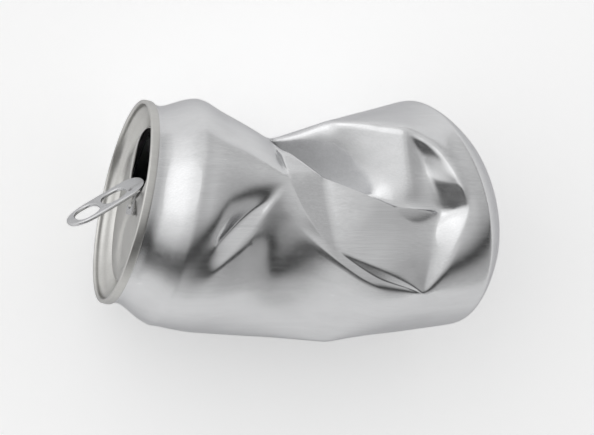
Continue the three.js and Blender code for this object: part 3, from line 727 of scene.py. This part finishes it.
@dataclass
class SeamedEnd:
    """The end: seam, chuck wall, countersink, panel with its rivet, torn mouth.

    Built with +Z out of the can and the top of the seam at nought.
    """

    rest: Rest | None = None
    seam_radius: float = 29.75
    seam_height: float = 2.5
    gauge: float = 0.25
    flange_inner: float = 28.66
    panel_depth: float = 3.5
    countersink_depth: float = 6.3
    panel_radius: float = 23.2
    mouth_across: float = 12.0
    mouth_along: float = 9.6
    mouth_centre: float = 12.5
    rivet_radius: float = 2.4
    rivet_height: float = 1.3
    rivet_place: float = 1.0
    torn_bend: float = 66.0
    steps: int = 192

    def profile(self) -> tuple[list[tuple[float, float]], list[tuple[float, float]]]:
        """The sheet's section as (radius, height).

        Returns:
            Its outer side from the panel's middle to the seam, and its inner side back again.
        """
        well, gauge, deep, panel, disc = (self.flange_inner, self.gauge, self.countersink_depth,
                                          self.panel_depth, self.panel_radius)
        out = self.seam_radius
        panel_rings = [disc - 1.4 - 1.2 * i for i in range(17, 0, -1)]
        upper = [(r, -panel) for r in panel_rings] + [
            (disc - 1.4, -panel), (disc - 0.5, -panel - 0.3), (disc, -panel - 1.1),
            (disc + 0.2, -deep + 0.5),
            (disc + 0.9, -deep), (disc + 1.6, -deep + 0.5), (disc + 2.0, -deep + 1.4), (disc + 3.0, -3.4),
            (well - 1.0, -2.6), (well - gauge, -1.6), (well - gauge, -0.5), (well - gauge + 0.25, -0.1),
            (well + 0.1, 0),
        ]
        lower = [
            (out - 0.45, 0), (out - 0.1, -0.15), (out, -0.5), (out, -self.seam_height + 0.4),
            (out - 0.15, -self.seam_height), (out - gauge, -self.seam_height), (out - gauge, -0.55),
            (out - gauge - 0.2, -gauge), (well + 0.15, -gauge), (well, -0.5), (well, -1.7),
            (well - 0.9, -2.6 - gauge), (disc + 3.15, -3.4 - gauge), (disc + 2.25, -deep + 1.3),
            (disc + 1.8, -deep + 0.3), (disc + 0.9, -deep - gauge), (disc, -deep + 0.3),
            (disc - 0.25, -panel - 1.0), (disc - 0.7, -panel - 0.5), (disc - 1.5, -panel - gauge),
        ] + [(r, -panel - gauge) for r in reversed(panel_rings)]
        return upper, lower

    @staticmethod
    def _soften(line: list[tuple[float, float]], rounds: int = 2) -> list[tuple[float, float]]:
        """Rounds a section's corners by cutting them, keeping its two ends."""
        for _ in range(rounds):
            cut = [line[0]]
            for (ax, ay), (bx, by) in zip(line, line[1:]):
                cut.append((0.75 * ax + 0.25 * bx, 0.75 * ay + 0.25 * by))
                cut.append((0.25 * ax + 0.75 * bx, 0.25 * ay + 0.75 * by))
            cut.append(line[-1])
            line = cut
        return line

    def relief(self, x: float, y: float) -> float:
        """Height of what is pressed into the panel.

        Args:
            x: across the panel, towards the kicked side.
            y: towards the mouth.

        Returns:
            The height above the flat panel, in mm.
        """
        off = math.hypot(x / (self.mouth_across + 1.9), (y - self.mouth_centre) / (self.mouth_along + 1.9))
        bead = 0.28 * math.exp(-((off - 1.0) / 0.055) ** 2)
        well = math.hypot(x / 9.5, (y + 9.5) / 9.0)
        finger = -0.75 / (1 + math.exp((well - 1.0) * 16))
        rise = 0.16 * math.exp(-((math.hypot(x, y - self.rivet_place) - 4.2) / 0.7) ** 2)
        return bead + finger + rise

    def outline(self) -> list[Vector]:
        """Points that reach the end's own box, in the frame of the bent can."""
        upper, lower = self.profile()
        points = []
        for radius, height in upper + lower:
            for i in range(96):
                turn = 2 * math.pi * i / 96
                points.append(OPEN_END.ring_point(-height, radius, turn))
        return points

    def build(self) -> bpy.types.Object:
        """Builds the piece.

        Returns:
            The end's object.
        """
        upper, lower = self.profile()
        ring = self._soften(upper + lower)
        work = bmesh.new()
        rows = []
        for i in range(self.steps):
            turn = 2 * math.pi * i / self.steps
            row = []
            for radius, height in ring:
                x, y = radius * math.cos(turn), radius * math.sin(turn)
                lift = self.relief(x, y) if radius < self.panel_radius - 1.0 else 0.0
                row.append(work.verts.new(Vector((x, y, height + lift)) * MM))
            rows.append(row)
        for i, row in enumerate(rows):
            after = rows[(i + 1) % self.steps]
            for k in range(len(ring) - 1):
                work.faces.new((row[k], row[k + 1], after[k + 1], after[k]))
        for k in (0, len(ring) - 1):
            hub = work.verts.new(Vector((0, 0, ring[k][1] + self.relief(0, 0))) * MM)
            for i, row in enumerate(rows):
                after = rows[(i + 1) % self.steps]
                work.faces.new((hub, row[k], after[k]) if k == 0 else (hub, after[k], row[k]))
        mesh = to_mesh(work, "can_end_sheet")
        along, top, near = OPEN_END.axes()
        matrix = self.rest.matrix(OPEN_END.centre, near, top, -along)
        piece = link_mesh("can_end_sheet", mesh, matrix)
        reshape(piece, self._mouth_cutter(matrix), Change.CUT)
        reshape(piece, self._rivet(matrix), Change.JOIN)
        reshape(piece, self._torn_piece(matrix), Change.JOIN)
        smooth_by_angle(piece.data, 35)
        return piece

    def _mouth_cutter(self, matrix: Matrix) -> bpy.types.Object:
        """The hole that was torn in the panel."""
        outline = [p + Vector((0, self.mouth_centre, -self.panel_depth + 2)) for p in
                   oval(self.mouth_across, self.mouth_along)]
        return prism("mouth", outline, 4, matrix)

    def _rivet(self, matrix: Matrix) -> bpy.types.Object:
        """The rivet raised from the panel, headed over the tab."""
        section = [(0, 0.05), (0.9, 0.12), (1.7, 0.3), (2.1, 0.18), (2.3, -0.1), (2.35, -0.45),
                   (2.38, -0.9), (2.4, -self.rivet_height - 0.2), (0, -self.rivet_height - 0.2)]
        base = -self.panel_depth + self.rivet_height - 0.3
        work = bmesh.new()
        rows = []
        for i in range(ROUND):
            turn = 2 * math.pi * i / ROUND
            rows.append([work.verts.new(Vector((r * math.cos(turn), self.rivet_place + r * math.sin(turn),
                                                base + z)) * MM) for r, z in section[1:-1]])
        hub = work.verts.new(Vector((0, self.rivet_place, base + section[0][1])) * MM)
        foot = work.verts.new(Vector((0, self.rivet_place, base + section[-1][1])) * MM)
        for i, row in enumerate(rows):
            after = rows[(i + 1) % ROUND]
            work.faces.new((hub, row[0], after[0]))
            work.faces.new((foot, after[-1], row[-1]))
            for k in range(len(row) - 1):
                work.faces.new((row[k], row[k + 1], after[k + 1], after[k]))
        return link_mesh("rivet", to_mesh(work, "rivet"), matrix)

    def _torn_piece(self, matrix: Matrix) -> bpy.types.Object:
        """The torn panel, still hanging from the mouth's near side and bent in."""
        across = self.mouth_across - 1.4
        outline = [p + Vector((-across, 0, 0)) for p in oval(across, self.mouth_along - 0.6)]
        turn = Matrix.Rotation(math.radians(-self.torn_bend), 3, "Y")
        place = Vector((self.mouth_across + 0.7, self.mouth_centre - 0.4, -self.panel_depth))
        tool = prism("torn", outline, self.gauge, matrix)
        for vertex in tool.data.vertices:
            vertex.co = turn @ vertex.co + place * MM
        return tool


@dataclass
class PullTab:
    """The lifted tab: nose, window, finger ring and the island that the rivet holds."""

    rest: Rest
    length: float = 25.3
    width: float = 15.6
    thickness: float = 1.1
    lift: float = 48.0
    twist: float = 9.0
    panel_depth: float = 3.5
    rivet_radius: float = 2.4
    rivet_place: float = 1.0
    rivet_gap: float = 0.32
    nose: tuple = (0, 7.3, -5.0)

    def outline(self) -> list[Vector]:
        """The tab's outline in its own plane: u from nose to finger end, v across."""
        half = self.width / 2
        stretches = (
            ((6, -half + 0.2), (1.8, -half + 0.3), (0, -4.6), (0, 0)),
            ((0, 0), (0, 4.6), (1.8, half - 0.3), (6, half - 0.2)),
            ((6, half - 0.2), (12, half), (15, half), (18.5, half - 0.2)),
            ((18.5, half - 0.2), (23, half - 0.9), (self.length, 4.4), (self.length, 0)),
            ((self.length, 0), (self.length, -4.4), (23, -half + 0.9), (18.5, -half + 0.2)),
            ((18.5, -half + 0.2), (15, -half), (12, -half), (6, -half + 0.2)),
        )
        points = []
        for a, b, c, d in stretches:
            for i in range(16):
                t = i / 16
                weights = ((1 - t) ** 3, 3 * t * (1 - t) ** 2, 3 * t * t * (1 - t), t ** 3)
                points.append(Vector([sum(w * p[k] for w, p in zip(weights, (a, b, c, d))) for k in (0, 1)]
                                     + [0]))
        return list(reversed(points))

    def build(self) -> bpy.types.Object:
        """Builds the piece.

        Returns:
            The tab's object.
        """
        along, top, near = OPEN_END.axes()
        matrix = self.rest.matrix(OPEN_END.centre, near, top, -along)
        curve = bpy.data.curves.new("pull_tab_sheet", "CURVE")
        curve.dimensions = "2D"
        curve.fill_mode = "BOTH"
        roll = self.thickness * 0.46
        curve.bevel_depth = roll * MM
        curve.extrude = (self.thickness / 2 - roll) * MM
        curve.bevel_resolution = 4
        curve.offset = -roll * MM
        for line in (self.outline(), oval(3.6, 5.6, 64, 18.9), oval(3.7, 4.9, 64, 9.9)):
            spline = curve.splines.new("POLY")
            spline.points.add(len(line) - 1)
            for point, place in zip(spline.points, line):
                point.co = (*(place * MM), 1.0)
            spline.use_cyclic_u = True
        flat = bpy.data.objects.new("flat_tab", curve)
        bpy.context.scene.collection.objects.link(flat)
        graph = bpy.context.evaluated_depsgraph_get()
        mesh = bpy.data.meshes.new_from_object(flat.evaluated_get(graph))
        bpy.data.objects.remove(flat)
        work = bmesh.new()
        work.from_mesh(mesh)
        bmesh.ops.remove_doubles(work, verts=work.verts, dist=1e-6)
        bmesh.ops.recalc_face_normals(work, faces=work.faces)
        lifted = self._lifted()
        for vertex in work.verts:
            vertex.co = lifted @ vertex.co
        work.to_mesh(mesh)
        work.free()
        piece = link_mesh("pull_tab_sheet", mesh, matrix)
        reshape(piece, self._island(matrix), Change.JOIN)
        smooth_by_angle(piece.data, 40)
        weigh_normals(piece)
        return piece

    def _lifted(self) -> Matrix:
        """From the tab's own plane to the frame of the end, in metres."""
        angle = math.radians(self.lift)
        run = Vector((0, -math.cos(angle), math.sin(angle)))
        across = Matrix.Rotation(math.radians(-self.twist), 3, run) @ Vector((1, 0, 0))
        out = run.cross(across)
        matrix = Matrix.Identity(4)
        for i, column in enumerate((run, across, out)):
            for j in range(3):
                matrix[j][i] = column[j]
        matrix.translation = Vector(self.nose) * MM
        return matrix

    def _island(self, matrix: Matrix) -> bpy.types.Object:
        """The strip that is bent down from the nose and lies under the rivet's head."""
        z = -self.panel_depth + 0.35
        sheet = 0.5
        nose = self._lifted() @ Vector((5.6 * MM, 0, 0)) / MM
        place = self.rivet_place
        section = [(place - 4.4, z), (place + 3.3, z), (nose.y + 0.5, nose.z - 0.1),
                   (nose.y - 0.1, nose.z + 0.3), (place + 2.9, z + sheet), (place - 4.4, z + sheet)]
        outline = [Vector((3.7, y, h)) for y, h in section]
        work = bmesh.new()
        right = [work.verts.new(p * MM) for p in outline]
        left = [work.verts.new(Vector((-p.x, p.y, p.z)) * MM) for p in outline]
        bridge(work, right, left)
        island = link_mesh("island", to_mesh(work, "island"), matrix)
        radius = self.rivet_radius + self.rivet_gap
        turns = [2 * math.pi * i / ROUND for i in range(ROUND)]
        circle = [Vector((radius * math.cos(a), place + radius * math.sin(a), z + 2)) for a in turns]
        reshape(island, prism("bore", circle, 4, matrix), Change.CUT)
        return island


@dataclass
class Studio:
    """Pale floor, soft studio light and the camera.

    Attributes:
        rest: how the can lies.
        slant: how far the camera leans over from straight above, in degrees.
        sky: brightness of the room by the angle from the camera's axis towards +Y, in degrees.
        sides: factor on it by how far to +X the direction points, from -1 to 1.
        lamp_size: across the soft lamp, in metres.
        lamp_power: of that lamp, in watts.
        lamp_place: where it hangs, in metres.
        distance: of the camera, in mm.
        field: width of the view at the can, in mm.
    """

    rest: Rest
    slant: float = PITCH
    sky: tuple = ((-90, 0.75), (-76, 0.62), (-66, 0.3), (-56, 0.08), (-40, 0.05), (-29, 0.42),
                  (-8, 0.8), (25, 0.88), (70, 0.95), (95, 0.8), (120, 0.6), (150, 0.6))
    sides: tuple = ((-1.0, 1.5), (-0.45, 1.32), (-0.2, 1.1), (0.0, 0.95), (0.35, 0.88),
                    (0.65, 0.72), (1.0, 0.6))
    lamp_size: float = 1.6
    lamp_power: float = 1.9
    lamp_place: tuple = (-0.9, 0.8, 1.2)
    distance: float = 1500.0
    field: float = 594 / 3.5

    def build(self) -> None:
        """Sets up everything round the can."""
        self._floor()
        self._room()
        self._key_light()
        self._camera()
        bpy.context.scene.view_settings.view_transform = "Standard"

    def _floor(self) -> None:
        """The plain surface."""
        half = 3.0
        mesh = bpy.data.meshes.new("floor")
        mesh.from_pydata([(-half, -half, 0), (half, -half, 0), (half, half, 0), (-half, half, 0)], [],
                         [(0, 1, 2, 3)])
        floor = link_mesh("floor", mesh, Matrix.Identity(4))
        dress(floor, PaleBoard().make())

    def _room(self) -> None:
        """A pale room: bright to the left and behind, with a dark gap on the near side."""
        world = bpy.data.worlds.new("room")
        bpy.context.scene.world = world
        world.use_nodes = True
        bench = Bench(world.node_tree)
        view = bench.add("ShaderNodeTexCoord", output="Generated")
        leant = bench.add("ShaderNodeVectorRotate", {"rotation_type": "Y_AXIS"}, {
            "Vector": view, "Angle": math.radians(self.slant),
        })
        across, rear, up = bench.parts(leant)
        angle = bench.add("ShaderNodeMath", {"operation": "ARCTAN2"}, {0: rear, 1: up})
        bands = bench.add("ShaderNodeValToRGB", {
            "stops": [((a / 180 + 1) / 2, grey(v)) for a, v in self.sky],
        }, {0: angle * (0.5 / math.pi) + 0.5})
        ends = bench.add("ShaderNodeValToRGB", {
            "stops": [((x + 1) / 2, grey(v / 2)) for x, v in self.sides],
        }, {0: across * 0.5 + 0.5})
        light = bench.add("ShaderNodeBackground", inputs={"Color": bands, "Strength": ends * 2})
        bench.add("ShaderNodeOutputWorld", inputs={"Surface": light})

    def _key_light(self) -> None:
        """One large soft lamp up and to the left."""
        lamp = bpy.data.lights.new("key", "AREA")
        lamp.shape = "DISK"
        lamp.size = self.lamp_size
        lamp.energy = self.lamp_power
        key = bpy.data.objects.new("key", lamp)
        bpy.context.scene.collection.objects.link(key)
        key.location = self.lamp_place
        key.rotation_euler = (-key.location).to_track_quat("-Z", "Y").to_euler()

    def _camera(self) -> None:
        """Looks down on the can, square to the plane that its folds were set out in."""
        camera = bpy.data.cameras.new("camera")
        camera.sensor_width = 36.0
        camera.lens = camera.sensor_width * self.distance / self.field
        camera.clip_end = 20.0
        eye = bpy.data.objects.new("camera", camera)
        bpy.context.scene.collection.objects.link(eye)
        eye.matrix_world = self.rest.matrix(Vector((0, 0, self.distance)), Vector((1, 0, 0)),
                                            Vector((0, 1, 0)), Vector((0, 0, 1)))
        bpy.context.scene.camera = eye


def main() -> None:
    """Builds the can and its surroundings, and reports each piece."""
    logging.basicConfig(level=logging.INFO, format="%(message)s")
    rest = Rest.from_frame(PITCH, SeamedEnd().outline())
    body_finish = BareAluminium(
        "ironed_wall", colour=(0.68, 0.683, 0.69), roughness=0.22, across=0.5,
        grain=3.2, relief=0.006, scuffs=0.0)
    end_finish = BareAluminium(
        "rolled_end", colour=(0.60, 0.595, 0.575), roughness=0.34, across=0.15,
        grain=2.2, relief=0.006, scuffs=0.02)
    tab_finish = BareAluminium(
        "bent_tab", colour=(0.60, 0.603, 0.61), roughness=0.26, across=0.1,
        grain=2.0, relief=0.003, scuffs=0.02)
    work = (
        (CrushedBody(rest), "can_body", "body_aluminium", body_finish),
        (SeamedEnd(rest), "can_end", "end_aluminium", end_finish),
        (PullTab(rest), "pull_tab", "tab_aluminium", tab_finish),
    )
    for maker, node, slot, finish in work:
        piece = maker.build()
        dress(piece, finish.make())
        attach(piece, "root")
        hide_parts(node)
        LOG.info("%s: %d faces", piece.name, len(piece.data.polygons))
    Studio(rest).build()


if __name__ == "__main__":
    main()
